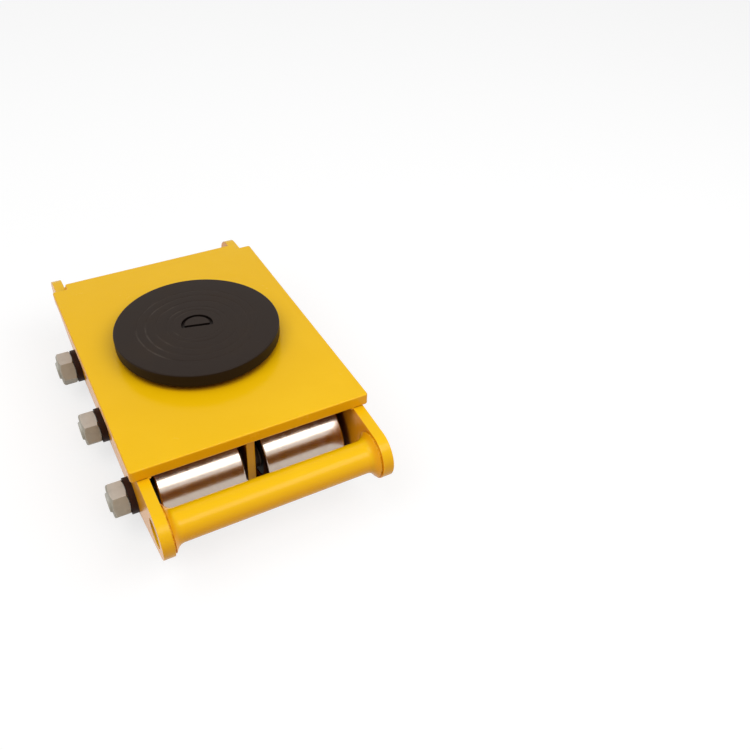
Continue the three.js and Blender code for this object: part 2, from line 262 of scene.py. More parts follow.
# %% Paint skin: the slow waves and fine dimples of sprayed paint
dimple_share = 0.22
skin_group, source, result = new_group("paint_skin", ["Height"], Place=None, Waves=60.0, Dimples=900.0)
waves = add_noise(skin_group, source["Place"], Scale=source["Waves"], Detail=2.0, Roughness=0.4)
dimples = add_noise(skin_group, source["Place"], Scale=source["Dimples"], Detail=1.0, Roughness=0.3)
set_inputs(result, Height=calculate(skin_group, "MULTIPLY_ADD", dimples, dimple_share, waves))

# %% Smudges: soft patches with a threshold
smudge_group, source, result = new_group("smudges", ["Mask"], Place=None, Patches=20.0, Reach=0.5)
patches = add_noise(smudge_group, source["Place"], Scale=source["Patches"], Detail=6.0, Roughness=0.62)
faded = ramp_value(smudge_group, patches, 0.0, 1.0, source["Reach"], 0.8, interpolation_type="SMOOTHSTEP")
set_inputs(result, Mask=faded)

# %% Worn edge: where a bevelled normal differs from the true one
edge_group, source, result = new_group("worn_edge", ["Mask"], Place=None, Width=0.001, Breaks=300.0)
rounded = add_node(edge_group, "ShaderNodeBevel", source["Width"], samples=4).outputs["Normal"]
truth = add_node(edge_group, "ShaderNodeNewGeometry").outputs["Normal"]
alike = add_node(edge_group, "ShaderNodeVectorMath", rounded, truth, operation="DOT_PRODUCT")
differs = ramp_value(edge_group, alike.outputs["Value"], 0.0, 1.0, 0.99, 0.8)
breaks = add_noise(edge_group, source["Place"], Scale=source["Breaks"], Detail=3.0, Roughness=0.6)
uneven = ramp_value(edge_group, breaks, 0.0, 1.0, 0.35, 0.65)
set_inputs(result, Mask=calculate(edge_group, "MULTIPLY", differs, uneven))

# %% Painted corner shade: a mask that grows where nearby surfaces close in and shade falls
corner_shade_group, source, result = new_group("painted_corner_shade", ["Mask"], Reach=0.012, Start=0.75)
around = add_node(corner_shade_group, "ShaderNodeAmbientOcclusion", samples=6)
set_inputs(around, Distance=source["Reach"])
closed = ramp_value(corner_shade_group, around.outputs["AO"], 0.0, 1.0, source["Start"], 0.15)
set_inputs(result, Mask=closed)

# %% Turned grain: a distance and an angle from the nearest axle
row_pitch = 102 * mm
axle_height = 40 * mm
turned_group, source, result = new_group("turned_grain", ["Height", "Streak"], Place=None, Rings=1800.0)
split = add_node(turned_group, "ShaderNodeSeparateXYZ", source["Place"]).outputs
from_row = calculate(turned_group, "WRAP", split["Y"], row_pitch / 2, -row_pitch / 2)
from_axle = calculate(turned_group, "SUBTRACT", split["Z"], axle_height)
flat = add_node(turned_group, "ShaderNodeCombineXYZ", 0.0, from_row, from_axle).outputs[0]
away = add_node(turned_group, "ShaderNodeVectorMath", flat, operation="LENGTH").outputs["Value"]
turn_angle = calculate(turned_group, "ARCTAN2", from_row, from_axle)

# %% Turned grain: rings that a lathe or a grinding wheel leaves round an axle
streaks_per_metre = 130.0
rings = add_node(turned_group, "ShaderNodeTexNoise", noise_dimensions="1D")
set_inputs(rings, W=calculate(turned_group, "ADD", split["X"], away), Scale=source["Rings"],
           Detail=4.0, Roughness=0.7)
along = calculate(turned_group, "MULTIPLY", split["X"], streaks_per_metre)
unrolled = add_node(turned_group, "ShaderNodeCombineXYZ", along, turn_angle).outputs[0]
streaks = add_noise(turned_group, unrolled, Scale=1.0, Detail=3.0, Roughness=0.6)
set_inputs(result, Height=rings.outputs["Fac"], Streak=streaks)
print("shared effects:", [group.name for group in bpy.data.node_groups])

# %% [markdown]
# Yellow paint.
#
# The frame is painted a glossy yellow, and the flat tops show its own colour. Edges and faces that
# don't look up are painted darker, as shade, and the faces of the side plates are painted a brighter
# orange yellow, as light. Corners are painted darker, as shade, and deep between the plates a red brown
# painted shade is laid in. The paint waves a little and dulls where hands and floors rub it.
#
# One flat colour would look like plastic. Here masks for patches choose between tones of the paint, and
# masks for direction and corners paint in light and shade.

# %% Helpers for a finish
def new_finish(name):
    """A material, its tree, its shader, and the place on the object that its patterns read."""
    finish = bpy.data.materials.new(name)
    finish.use_nodes = True
    tree = finish.node_tree
    place = add_node(tree, "ShaderNodeTexCoord").outputs["Object"]
    print("finish:", name)
    return finish, tree, tree.nodes["Principled BSDF"], place


def mix_colours(tree, mask, first, second):
    """The first colour where the mask is zero, and the second where it is one.

    A mix node keeps its two colours on sockets 6 and 7, and gives the mixed one on output 2.
    """
    mix = add_node(tree, "ShaderNodeMix", mask, data_type="RGBA")
    for index, colour in ((6, first), (7, second)):
        feed(mix.inputs[index], (*colour, 1) if isinstance(colour, tuple) else colour)
    return mix.outputs[2]


def facing_of(tree):
    """How far a face looks along X, Y and Z."""
    normal = add_node(tree, "ShaderNodeTexCoord").outputs["Normal"]
    return add_node(tree, "ShaderNodeSeparateXYZ", normal).outputs


def add_bump(tree, shader, height, distance, strength):
    bump = set_inputs(add_node(tree, "ShaderNodeBump"), Height=height, Distance=distance, Strength=strength)
    set_inputs(shader, Normal=bump.outputs["Normal"])


# %% Yellow paint: masks
yellow_paint, tree, shader, place = new_finish("yellow_spray_paint")
patch = use_group(tree, smudge_group, Place=place, Patches=9.0, Reach=0.42)["Mask"]
rubbed = use_group(tree, smudge_group, Place=place, Patches=45.0, Reach=0.56)["Mask"]
edge = use_group(tree, edge_group, Place=place, Width=0.0012, Breaks=260.0)["Mask"]
# corner is a painted shade mask for the yellow paint's corners.
corner = use_group(tree, corner_shade_group, Reach=0.012, Start=0.7)["Mask"]
facing = facing_of(tree)
sideways_shade = ramp_value(tree, facing["Z"], 1.0, 0.0, 0.1, 0.9)
flank = ramp_value(tree, calculate(tree, "ABSOLUTE", facing["X"]), 0.0, 1.0, 0.5, 0.95)

# %% Yellow paint: painted shade deep between the plates
shade_from_y = -148 * mm
shade_fade = 10 * mm
place_y = add_node(tree, "ShaderNodeSeparateXYZ", place).outputs["Y"]
within = ramp_value(tree, place_y, 0.0, 1.0, shade_from_y - shade_fade, shade_from_y + shade_fade)
turned_away = ramp_value(tree, facing["Y"], 0.0, 1.0, -0.8, -0.3)
deep = use_group(tree, corner_shade_group, Reach=0.07, Start=0.42)["Mask"]
# Behind the front, deep between the plates, this mask lays in a painted shade.
deep_shade_mask = calculate(tree, "MULTIPLY", calculate(tree, "MULTIPLY", within, turned_away), deep)
print("primer shows behind y, mm:", round(shade_from_y / mm))

# %% Yellow paint: colours, with painted shade and light by direction, and gloss
top_coat = mix_colours(tree, patch, (0.90, 0.515, 0.002), (0.93, 0.545, 0.006))
# Faces that don't look up are painted darker, as shade, and faces that look left or right are painted
# brighter, as light.
shaded_side_colour = mix_colours(tree, patch, (0.75, 0.340, 0.002), (0.79, 0.370, 0.004))
lit_flank_colour = mix_colours(tree, patch, (0.93, 0.375, 0.002), (0.96, 0.400, 0.004))
body = mix_colours(tree, flank, mix_colours(tree, sideways_shade, top_coat, shaded_side_colour), lit_flank_colour)
thin = mix_colours(tree, edge, body, (0.90, 0.53, 0.06))
# Corners are painted a darker orange, as shade.
corner_shaded = mix_colours(tree, corner, thin, (0.62, 0.235, 0.002))
# The painted deep shade is a dark red brown. The same mask also makes the paint rougher there.
painted_deep_shade = mix_colours(tree, deep_shade_mask, corner_shaded, (0.17, 0.035, 0.004))
dull = calculate(tree, "MULTIPLY_ADD", deep_shade_mask, 0.45, ramp_value(tree, rubbed, 0.22, 0.34))
set_inputs(shader, Base_Color=painted_deep_shade, Roughness=dull, Specular_IOR_Level=0.17)
add_bump(tree, shader, use_group(tree, skin_group, Place=place)["Height"], 0.0006, 0.3)
print("coats of yellow: top, side and flank, over a primer")

# %% [markdown]
# Bare steels.
#
# The rollers are ground round and carry fine rings. Their ends have a film of oil from the bearings, and
# are painted dark brown, as shade and as a reflection of the yellow plates. The nuts and axles are zinc
# plated and dull, and their faces that look up are painted paler, as light from above. The lock washers
# are blackened, and the bearings are oily steel with a rubber seal, painted very dark as shade.
#
# All of them could share one steel, but each was worked and soiled in its own way. A metal's base colour
# tints what it mirrors, and the specular tint darkens the glancing light on oil.

# %% Ground steel for the rollers
ground_steel, tree, shader, place = new_finish("ground_roller_steel")
turned = use_group(tree, turned_group, Place=place, Rings=2600.0)
stain = use_group(tree, smudge_group, Place=place, Patches=26.0, Reach=0.46)["Mask"]
edge = use_group(tree, edge_group, Place=place, Width=0.0009, Breaks=420.0)["Mask"]
plain = mix_colours(tree, stain, (0.54, 0.45, 0.38), (0.46, 0.37, 0.30))
set_inputs(shader, Metallic=1.0, Base_Color=mix_colours(tree, edge, plain, (0.82, 0.79, 0.74)),
           Roughness=ramp_value(tree, turned["Streak"], 0.16, 0.24, 0.3, 0.7))
add_bump(tree, shader, turned["Height"], 0.000004, 0.5)

# %% Oily roller ends, painted dark brown as shade
oil_tint = (0.30, 0.20, 0.14, 1)
oily_shaded_steel, tree, shader, place = new_finish("oily_shaded_turned_steel")
turned = use_group(tree, turned_group, Place=place, Rings=900.0)
film = use_group(tree, smudge_group, Place=place, Patches=70.0, Reach=0.42)["Mask"]
# The ends are painted dark brown, as shade and as a reflection of the yellow plates, over a film of oil.
set_inputs(shader, Metallic=1.0, Specular_Tint=oil_tint,
           Base_Color=mix_colours(tree, film, (0.070, 0.040, 0.026), (0.040, 0.021, 0.014)),
           Roughness=ramp_value(tree, turned["Streak"], 0.40, 0.55, 0.3, 0.7))
add_bump(tree, shader, turned["Height"], 0.00002, 0.5)

# %% Dull zinc for nuts and axles
zinc, tree, shader, place = new_finish("dull_zinc")
spangle = set_inputs(add_node(tree, "ShaderNodeTexVoronoi"), Vector=place, Scale=700.0).outputs["Distance"]
blotch = use_group(tree, smudge_group, Place=place, Patches=110.0, Reach=0.4)["Mask"]
edge = use_group(tree, edge_group, Place=place, Width=0.0008, Breaks=500.0)["Mask"]
upwards = ramp_value(tree, facing_of(tree)["Z"], 0.0, 1.0, 0.5, 0.95)
grey = mix_colours(tree, blotch, (0.40, 0.37, 0.30), (0.32, 0.29, 0.23))
# On the zinc, faces that look up are painted a paler grey, as light from above.
dust_and_top_light = mix_colours(tree, blotch, (0.56, 0.54, 0.49), (0.47, 0.45, 0.405))
plain = mix_colours(tree, upwards, grey, dust_and_top_light)
set_inputs(shader, Metallic=0.3, Base_Color=mix_colours(tree, edge, plain, (0.66, 0.62, 0.56)),
           Roughness=ramp_value(tree, spangle, 0.5, 0.62))
add_bump(tree, shader, spangle, 0.00008, 0.3)

# %% Blackened spring steel for the washers
black_steel, tree, shader, place = new_finish("blackened_spring_steel")
scale_marks = add_noise(tree, place, Scale=520.0, Detail=5.0, Roughness=0.7)
edge = use_group(tree, edge_group, Place=place, Width=0.0007, Breaks=380.0)["Mask"]
dark = mix_colours(tree, scale_marks, (0.018, 0.006, 0.003), (0.034, 0.012, 0.006))
set_inputs(shader, Specular_IOR_Level=0.12, Base_Color=mix_colours(tree, edge, dark, (0.05, 0.04, 0.034)),
           Roughness=ramp_value(tree, scale_marks, 0.38, 0.55))
add_bump(tree, shader, scale_marks, 0.0001, 0.4)

# %% Bearing steel, painted very dark as shade
bearing_steel, tree, shader, place = new_finish("bearing_steel")
turned = use_group(tree, turned_group, Place=place, Rings=3200.0)
film = use_group(tree, smudge_group, Place=place, Patches=60.0, Reach=0.45)["Mask"]
# Both tones are painted very dark, as shade, with patches of oil between them.
set_inputs(shader, Metallic=1.0, Specular_Tint=oil_tint,
           Base_Color=mix_colours(tree, film, (0.090, 0.062, 0.045), (0.045, 0.028, 0.018)),
           Roughness=ramp_value(tree, film, 0.36, 0.48))
add_bump(tree, shader, turned["Height"], 0.000004, 0.3)

# %% Rubber of the bearing seals
seal_rubber, tree, shader, place = new_finish("bearing_seal_rubber")
pores = add_noise(tree, place, Scale=800.0, Detail=3.0)
set_inputs(shader, Specular_IOR_Level=0.08,
           Base_Color=mix_colours(tree, pores, (0.004, 0.003, 0.002), (0.008, 0.006, 0.005)),
           Roughness=ramp_value(tree, pores, 0.6, 0.75))
add_bump(tree, shader, pores, 0.00004, 0.3)

# %% [markdown]
# Black rubber for the pad.
#
# The pad is moulded. Its top has faint rings with grey brown dust in them, most of it on one side, and a
# dry bloom in patches. The rings are measured from the pivot, so the pattern turns with the pad. A
# painted picture would do that too, but a measured ring stays sharp however near the camera comes.

# %% Pad rubber: rings of dust
pad_rubber, tree, shader, place = new_finish("moulded_pad_rubber")
pad_radius = 78 * mm
ring_shares = (0.30, 0.37, 0.50, 0.62, 0.73)
ring_width = 1.3 * mm
split = add_node(tree, "ShaderNodeSeparateXYZ", place).outputs
level = add_node(tree, "ShaderNodeCombineXYZ", split["X"], split["Y"]).outputs[0]
radius = add_node(tree, "ShaderNodeVectorMath", level, operation="LENGTH").outputs["Value"]
wobble = ramp_value(tree, add_noise(tree, place, Scale=28.0, Detail=1.0), -0.012, 0.012, 0.3, 0.7)
uneven = calculate(tree, "ADD", ramp_value(tree, radius, 0.0, 1.0, 0.0, pad_radius), wobble)
dust = add_node(tree, "ShaderNodeValToRGB", uneven)
dust.color_ramp.interpolation = "EASE"
for ring_share in ring_shares:
    for step, tone in ((-1, 0.0), (0, 1.0), (1, 0.0)):
        stop = dust.color_ramp.elements.new(ring_share + step * ring_width / pad_radius)
        stop.color = (tone, tone, tone, 1)
dust.color_ramp.elements[-1].color = (0, 0, 0, 1)
print("rings of dust:", len(ring_shares))

# %% Pad rubber: more dust on one side, and in patches
dusty_way = (-0.95, 0.30, 0)
towards = add_node(tree, "ShaderNodeVectorMath", level, operation="NORMALIZE").outputs[0]
dusty_side = add_node(tree, "ShaderNodeVectorMath", towards, dusty_way, operation="DOT_PRODUCT")
side_share = ramp_value(tree, dusty_side.outputs["Value"], 0.12, 1.0, -0.2, 0.9)
patchy = use_group(tree, smudge_group, Place=place, Patches=30.0, Reach=0.4)["Mask"]
ring_dust = calculate(tree, "MULTIPLY", dust.outputs["Color"], side_share)
broken = calculate(tree, "MULTIPLY", ring_dust, patchy)
print("dust lies towards:", dusty_way)

# %% Pad rubber: colours, painted shade on the sides and in creases, and gloss
bloom = use_group(tree, smudge_group, Place=place, Patches=24.0, Reach=0.44)["Mask"]
pores = add_noise(tree, place, Scale=1500.0, Detail=3.0, Roughness=0.6)
# Grooves, the half moon and the rim are painted nearly black, as shade in the creases.
crease_shade = use_group(tree, corner_shade_group, Reach=0.006, Start=0.9)["Mask"]
# The sides of the pad, which don't look up, are painted darker, as shade.
sideways_shade = ramp_value(tree, facing_of(tree)["Z"], 1.0, 0.0, 0.2, 0.9)
base = mix_colours(tree, bloom, (0.020, 0.012, 0.008), (0.030, 0.020, 0.014))
dust_and_top_light = mix_colours(tree, broken, base, (0.085, 0.066, 0.052))
sides = mix_colours(tree, sideways_shade, dust_and_top_light, (0.010, 0.004, 0.002))
set_inputs(shader, Specular_IOR_Level=0.14,
           Base_Color=mix_colours(tree, crease_shade, sides, (0.002, 0.001, 0.001)),
           Roughness=ramp_value(tree, bloom, 0.50, 0.68))
add_bump(tree, shader, pores, 0.0001, 0.4)
print("finishes:", len(bpy.data.materials))

# %% [markdown]
# Working by hand, in code.
#
# A person at the screen clicks faces and edges. Here a small test on their place or direction picks
# them, and the same operators then shape them. Everything is deselected before each step, because an
# operator works on all that is selected. Places that differ by less than near count as one.

# %% Picking helpers
near = 0.1 * mm


def select_only(*pieces):
    bpy.ops.object.select_all(action="DESELECT")
    for piece in pieces:
        piece.select_set(True)
    bpy.context.view_layer.objects.active = pieces[0]


def settle(piece):
    """Moves a piece's place, turn and size into its mesh."""
    select_only(piece)
    bpy.ops.object.transform_apply(location=True, rotation=True, scale=True)
    return piece


def pick(piece, kind, test):
    """Goes into edit mode with only the faces, edges or vertices selected that pass the test."""
    select_only(piece)
    bpy.ops.object.mode_set(mode="EDIT")
    bpy.ops.mesh.select_mode(type=kind)
    bpy.ops.mesh.select_all(action="DESELECT")
    bpy.ops.object.mode_set(mode="OBJECT")
    mesh = piece.data
    if kind == "FACE":
        for face in mesh.polygons:
            face.select = bool(test(face.center, face.normal))
    elif kind == "EDGE":
        for edge in mesh.edges:
            first, second = (mesh.vertices[i].co for i in edge.vertices)
            edge.select = bool(test(first, second))
    else:
        for vertex in mesh.vertices:
            vertex.select = bool(test(vertex.co))
    bpy.ops.object.mode_set(mode="EDIT")


def pick_all(piece):
    pick(piece, "FACE", lambda centre, normal: True)


def leave():
    bpy.ops.object.mode_set(mode="OBJECT")


# %% Shaping helpers
def pull(x, y, z):
    """Extrudes the picked faces by a distance along each axis."""
    bpy.ops.mesh.extrude_region_move(TRANSFORM_OT_translate={"value": (x, y, z)})


def push(depth):
    """Extrudes the picked faces along their normals, inwards when the depth is negative."""
    bpy.ops.mesh.extrude_region_shrink_fatten(TRANSFORM_OT_shrink_fatten={"value": depth})


def slice_at(piece, x):
    """Adds edges where an upright plane across X goes through a piece."""
    pick_all(piece)
    bpy.ops.mesh.bisect(plane_co=(x, 0, 0), plane_no=(1, 0, 0))
    leave()


def merge_flat(piece):
    """Takes away the edges inside flat faces."""
    pick_all(piece)
    bpy.ops.mesh.dissolve_limited(angle_limit=math.radians(0.4))
    leave()


def face_outwards(piece):
    """Merges doubles and turns every face outwards."""
    pick_all(piece)
    bpy.ops.mesh.remove_doubles(threshold=0.001 * mm)
    bpy.ops.mesh.normals_make_consistent(inside=False)
    leave()


# %% Modifier helpers
def use_modifier(piece, kind, **settings):
    select_only(piece)
    bpy.ops.object.modifier_add(type=kind)
    modifier = piece.modifiers[-1]
    for name, value in settings.items():
        setattr(modifier, name, value)
    bpy.ops.object.modifier_apply(modifier=modifier.name)


def cut(piece, *cutters, operation="DIFFERENCE"):
    for cutter in cutters:
        use_modifier(piece, "BOOLEAN", object=cutter, operation=operation, solver="EXACT")
        bpy.data.objects.remove(cutter)


def round_edges(piece, width, segments=3, angle=30):
    """Rounds every edge that is sharper than an angle."""
    use_modifier(piece, "BEVEL", width=width, segments=segments, limit_method="ANGLE",
                 angle_limit=math.radians(angle))


def smooth(piece, angle=35):
    """Shades smooth up to an angle, and lets large flat faces keep their own direction."""
    select_only(piece)
    bpy.ops.object.shade_smooth_by_angle(angle=math.radians(angle))
    use_modifier(piece, "WEIGHTED_NORMAL", mode="FACE_AREA", weight=100, keep_sharp=True)


# %% Helpers for a finished piece
def seat(piece, name, body, finish, slot, *nodes):
    """Names a finished piece, paints it and puts it on its body in place of its solids."""
    piece.name = name
    piece.data.name = name
    piece.data.materials.clear()
    piece.data.materials.append(finish)
    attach(piece, body)
    if nodes:
        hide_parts(*nodes)


def seat_painted(piece, name, *nodes):
    seat(piece, name, "chassis", yellow_paint, "yellow_paint", *nodes)


def copy_of(piece, shift):
    """A shifted copy with its own mesh."""
    select_only(piece)
    bpy.ops.object.duplicate(linked=False)
    twin = bpy.context.object
    twin.location = shift
    return settle(twin)


# %% Starting shapes
def along_x(node):
    """The middle and the length of a solid along X."""
    low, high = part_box(node)
    return (low.x + high.x) / 2, high.x - low.x


def bar(place, size, turn=(0, 0, 0)):
    bpy.ops.mesh.primitive_cube_add(size=1, location=place, rotation=turn, scale=size)
    return settle(bpy.context.object)


def block(node):
    """A bar with exactly the size and place of a solid."""
    low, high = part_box(node)
    return bar((low + high) / 2, high - low)


def rod(radius, length, place, steps=96, axis="X"):
    turn = {"X": (0, math.pi / 2, 0), "Z": (0, 0, 0)}[axis]
    bpy.ops.mesh.primitive_cylinder_add(vertices=steps, radius=radius, depth=length, location=place,
                                        rotation=turn)
    return settle(bpy.context.object)


# %% [markdown]
# The deck.
#
# The deck is one flat plate, flame cut and ground, so its corners are barely rounded and the paint
# rolls softly over its edges. A box could do for it, but the soft edge is what catches the light. The
# rear plate stands behind it, and their seam is welded and ground flush. So it is grown out of the deck
# by two extrusions, one back and one down, and a bevel rounds every rim. The pivot hole comes last.

# %% Deck plate
deck_low, deck_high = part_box("top_plate")
rear_low, rear_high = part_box("rear_cross_plate")
corner_round = 2.6 * mm
deck = block("top_plate")
pick(deck, "EDGE", lambda a, b: abs(a.z - b.z) > near)
bpy.ops.mesh.bevel(offset=corner_round, segments=5, affect="EDGES")
leave()
for x in (rear_low.x, rear_high.x):
    slice_at(deck, x)
print("deck in mm:", [round(v / mm) for v in deck_high - deck_low])

# %% Rear plate
pick(deck, "FACE", lambda centre, normal: normal.y > 0.9 and abs(centre.x) < rear_high.x)
pull(0, rear_high.y - deck_high.y, 0)
leave()
pick(deck, "FACE", lambda centre, normal: normal.z < -0.9 and centre.y > deck_high.y)
pull(0, 0, rear_low.z - deck_low.z)
leave()
merge_flat(deck)
round_edges(deck, width=1.5 * mm, segments=4)
print("deck and rear plate faces:", len(deck.data.polygons))

# %% Pivot hole
drill_length = 50 * mm
pivot_low, pivot_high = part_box("pivot_pin")
pivot_hole = (pivot_high.x - pivot_low.x) / 2 + 0.3 * mm
cut(deck, rod(pivot_hole, drill_length, (0, 0, deck_high.z), steps=64, axis="Z"))
smooth(deck)
seat_painted(deck, "deck_plate", "top_plate", "rear_cross_plate")
print("pivot hole radius in mm:", round(pivot_hole / mm, 2))

# %% [markdown]
# The side plates.
#
# Each side plate is cut in one outline: a straight middle that tapers at both ends, with a round nose
# for the tow tube in front and a round ear behind. Two discs and a tapered bar give that outline when
# a hull is stretched round them, as a string would be pulled round pegs.

# %% Side plate outline
side_low, side_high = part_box("side_plate_right")
side_middle, side_thick = along_x("side_plate_right")
nose_y = 180.5 * mm
nose_z = 71 * mm
nose_radius = side_high.y - nose_y
taper_y = 108 * mm

side = rod(nose_radius, side_thick, (side_middle, -nose_y, nose_z), steps=128)
ear = rod(nose_radius, side_thick, (side_middle, nose_y, nose_z), steps=128)
middle = bar((side_middle, 0, (side_low.z + deck_low.z) / 2),
             (side_thick, deck_high.y - deck_low.y, deck_low.z - side_low.z))
pick(middle, "FACE", lambda centre, normal: normal.z < -0.5)
bpy.ops.transform.resize(value=(1, taper_y / deck_high.y, 1), center_override=(side_middle, 0, side_low.z))
leave()
select_only(side, ear, middle)
bpy.ops.object.join()
pick_all(side)
bpy.ops.mesh.convex_hull(join_triangles=False)
leave()
merge_flat(side)
print("side plate outline faces:", len(side.data.polygons))

# %% Holes and soft edges
tow_hole = 13 * mm
ear_hole = 11 * mm
axle_hole = 10.3 * mm
rows = {"front": -row_pitch, "middle": 0.0, "rear": row_pitch}
front_y = rows["front"]
drills = [rod(tow_hole, drill_length, (side_middle, -nose_y, nose_z), steps=64),
          rod(ear_hole, drill_length, (side_middle, nose_y, nose_z), steps=64)]
for y in rows.values():
    drills.append(rod(axle_hole, drill_length, (side_middle, y, axle_height), steps=48))
cut(side, *drills)
round_edges(side, width=1.0 * mm)
smooth(side)
side_left = copy_of(side, (-side_low.x - side_high.x, 0, 0))
seat_painted(side, "side_plate_right_painted", "side_plate_right")
seat_painted(side_left, "side_plate_left_painted", "side_plate_left")
print("side plate faces:", len(side.data.polygons))

# %% [markdown]
# The inner plates.
#
# A long plate runs down the middle, and four short ones stand between the rollers. They are sheared
# and welded in. Each one is a plain bar with rounded edges. The centre plate's front end leans back
# towards its foot, so the lower edge there is moved, and the axles go through three drilled holes.

# %% Centre plate
centre_low, centre_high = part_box("centre_plate")
foot_y = front_y - 21 * mm
foot_top = centre_low.z + near
foot_back = centre_low.y + near
centre = block("centre_plate")
pick(centre, "EDGE", lambda a, b: max(a.z, b.z) < foot_top and max(a.y, b.y) < foot_back)
bpy.ops.transform.translate(value=(0, foot_y - centre_low.y, 0))
leave()
cut(centre, *[rod(axle_hole, drill_length, (0, y, axle_height), steps=48) for y in rows.values()])
round_edges(centre, width=1.0 * mm)
smooth(centre)
seat_painted(centre, "centre_plate_painted", "centre_plate")
print("centre plate length in mm:", round((centre_high.y - centre_low.y) / mm))

# %% Dividers
first = block("divider_front_left")
round_edges(first, width=1.0 * mm)
smooth(first)
first_low, first_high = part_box("divider_front_left")
hands = {"left": -1, "right": 1}
for end in ("front", "rear"):
    for hand in hands:
        node = f"divider_{end}_{hand}"
        here_low, here_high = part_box(node)
        plate = copy_of(first, (here_low + here_high) / 2 - (first_low + first_high) / 2)
        seat_painted(plate, node + "_painted", node)
bpy.data.objects.remove(first)
print("inner plates done")

# %% [markdown]
# The tow tube.
#
# A thick tube joins the two noses, and a pin or a fork can go through it. The weld at each end is laid
# in several runs and ground, so the tube flares into the nose. Planes cut rings into the rod near both
# ends, and each ring is widened. Insetting both ends and bridging the two inner faces then bores it
# through in one step, with no second shape to subtract.

# %% Tow tube
tube_low, tube_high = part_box("tow_tube")
tube_radius = 15 * mm
tube_axis = (0, -nose_y, nose_z)
# How far in from the end of the tube, and the radius there, both in millimetres.
radius_at = {11.0: 15.0, 9.0: 15.15, 7.0: 15.6, 5.0: 16.4, 3.2: 17.5, 1.6: 18.8, 0.0: 19.4}
tube = rod(tube_radius, tube_high.x - tube_low.x, tube_axis, steps=128)
for inwards, wide in radius_at.items():
    ring_x = tube_high.x - inwards * mm
    if inwards > 0:
        slice_at(tube, ring_x)
        slice_at(tube, -ring_x)
    pick(tube, "VERT", lambda v: abs(abs(v.x) - ring_x) < near)
    stretch = wide * mm / tube_radius
    bpy.ops.transform.resize(value=(1, stretch, stretch), center_override=tube_axis)
    leave()
print("tube radius at its ends, mm:", wide)

# %% Tube bore
tube_bore = 11 * mm
pick(tube, "FACE", lambda centre, normal: abs(centre.x) > tube_high.x - near)
bpy.ops.mesh.inset(thickness=radius_at[0.0] * mm - tube_bore)
bpy.ops.mesh.bridge_edge_loops()
leave()
face_outwards(tube)
smooth(tube)
seat_painted(tube, "tow_tube_painted", "tow_tube")
print("tube faces:", len(tube.data.polygons))

# %% [markdown]
# Weld beads.
#
# A weld is a row of overlapping puddles. A bent tube would be too even. A row of small balls, fused by a
# voxel remesh and smoothed once, keeps the ripple of the puddles and the soft foot where paint has
# filled the corner.

# %% Weld helpers
def weld(name, points, radius, voxel=0.55 * mm):
    """A painted bead along the points. Two slow waves make the puddles differ a little."""
    bpy.ops.object.select_all(action="DESELECT")
    bpy.ops.mesh.primitive_ico_sphere_add(subdivisions=2, radius=radius, location=points[0])
    bead = bpy.context.object
    bpy.ops.object.mode_set(mode="EDIT")
    for index, point in enumerate(points[1:]):
        size = radius * (1 + 0.10 * math.sin(index * 2.1) + 0.06 * math.sin(index * 5.3))
        bpy.ops.mesh.primitive_ico_sphere_add(subdivisions=2, radius=size, location=point)
    leave()
    settle(bead)
    use_modifier(bead, "REMESH", mode="VOXEL", voxel_size=voxel)
    use_modifier(bead, "SMOOTH", factor=0.6, iterations=3)
    select_only(bead)
    bpy.ops.object.shade_smooth()
    seat_painted(bead, name)


def run_of(start, end, spacing=2.6 * mm):
    """Evenly spaced points from a start to an end."""
    start, end = Vector(start), Vector(end)
    count = max(2, round((end - start).length / spacing))
    return [start.lerp(end, i / count) for i in range(count + 1)]


# %% Beads round the tow tube
def ring_of(x, radius, count):
    """Points all round the tube's axis."""
    turns = [2 * math.pi * i / count for i in range(count)]
    return [Vector((x, radius * math.cos(t) - nose_y, nose_z + radius * math.sin(t))) for t in turns]


tube_bead = 1.9 * mm
tube_bead_x = side_low.x - 0.5 * mm
tube_bead_ring = 18.9 * mm
for hand, x in (("right", tube_bead_x), ("left", -tube_bead_x)):
    weld(f"weld_tube_{hand}", ring_of(x, tube_bead_ring, count=50), tube_bead, voxel=0.4 * mm)
print("bead rings round the tube, radius in mm:", round(tube_bead_ring / mm, 1))


# %% Beads along the frame
def weld_under_deck(name, x, span, radius):
    """A bead from front to back at the height of the deck's underside, with its span in millimetres."""
    start, end = ((x, y * mm, deck_low.z) for y in span)
    weld(name, run_of(start, end), radius)


bead_gap = 0.4 * mm
outside = side_high.x + bead_gap
inside = side_low.x - bead_gap
deck_runs = {"front": (-136, -118), "middle_front": (-70, -34), "middle_rear": (34, 70), "rear": (118, 136)}
nose_run = (-142, -112)
centre_run = (-124, -100)
rear_run = (42, 100)
rear_bead_x = 92 * mm
rear_bead_y = 155.5 * mm
centre_bead_x = 4.2 * mm
fine_bead = 2.2 * mm
nose_bead = 2.4 * mm
rear_bead = 4.3 * mm
for hand, sign in hands.items():
    for label, span in deck_runs.items():
        weld_under_deck(f"weld_deck_{label}_{hand}", sign * outside, span, fine_bead)
    weld_under_deck(f"weld_nose_{hand}", sign * inside, nose_run, nose_bead)
    rear_foot, rear_top = ((sign * rear_bead_x, rear_bead_y, z * mm) for z in rear_run)
    weld(f"weld_rear_{hand}", run_of(rear_foot, rear_top), rear_bead)
    weld_under_deck(f"weld_centre_{hand}", sign * centre_bead_x, centre_run, fine_bead)

# %% [markdown]
# The rollers.
#
# Each roller is turned from a solid bar and ground. Its ends have a chamfered rim, a shallow recess and
# a pocket for the bearing. A profile could be spun round the axle, but insetting an end face and pushing
# it in, again and again, is what a lathe does. Both ends are worked at once, because both are selected.

# %% Turning helpers
def pick_ends(piece):
    pick(piece, "FACE", lambda centre, normal: abs(normal.x) > 0.9)


